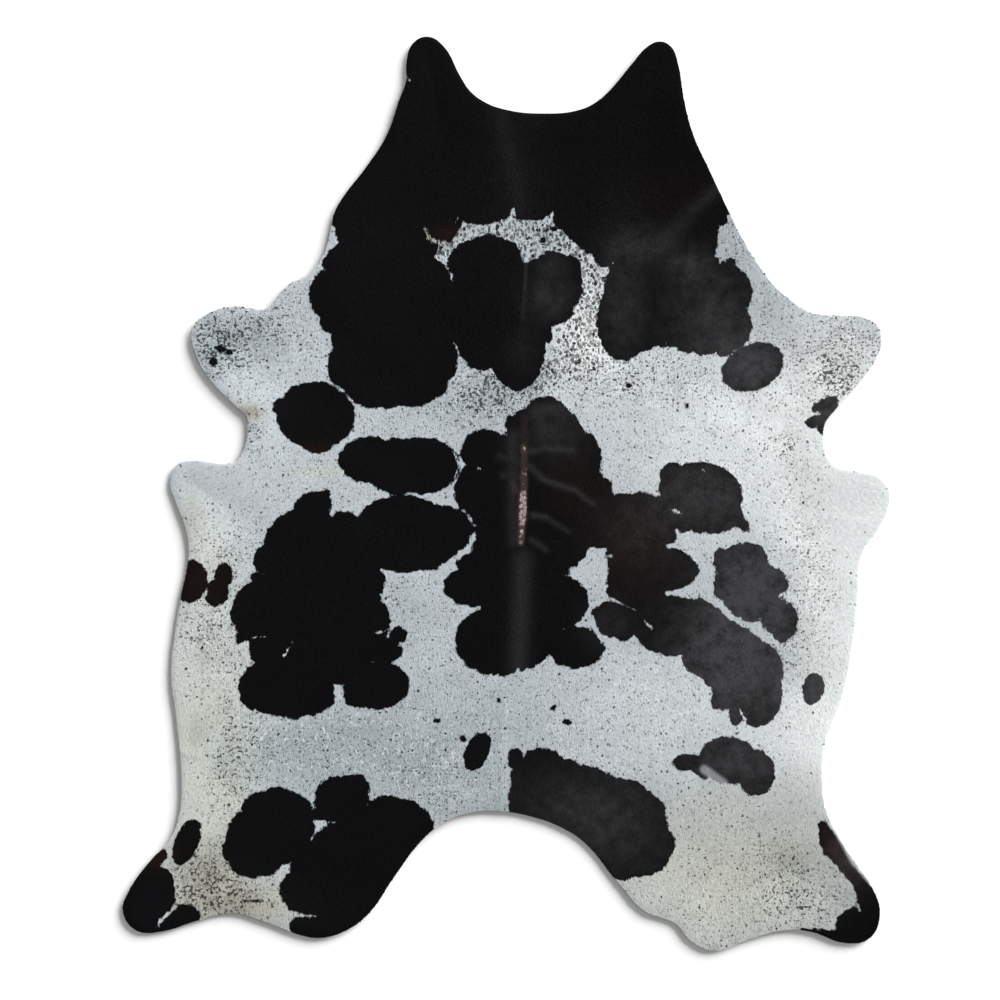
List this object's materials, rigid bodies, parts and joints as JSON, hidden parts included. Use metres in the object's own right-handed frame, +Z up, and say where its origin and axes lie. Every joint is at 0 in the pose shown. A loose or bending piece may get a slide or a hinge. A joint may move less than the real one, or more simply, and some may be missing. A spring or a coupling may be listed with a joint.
{
  "type": "cowhide rug",
  "caption": "Whole cowhide floor rug with the hair on, lying flat, black patches and specks on a white ground, with neck lobes, leg flaps and a hollow at the tail.",
  "frame": {"origin": "on the ground, under the middle of the rug's length and width", "axes": "+Y towards the neck, -Y towards the hind legs, +X to the right seen from above, +Z up out of the hair"},
  "size_m": [1.9158, 2.282, 0.0055],
  "materials": {
    "cattle_hair": "short glossy cattle hair lying flat, black patches on a white speckled ground, suede leather underneath"
  },
  "bodies": {
    "root": {"hair_on_hide": "cattle_hair"}
  },
  "joints": []
}
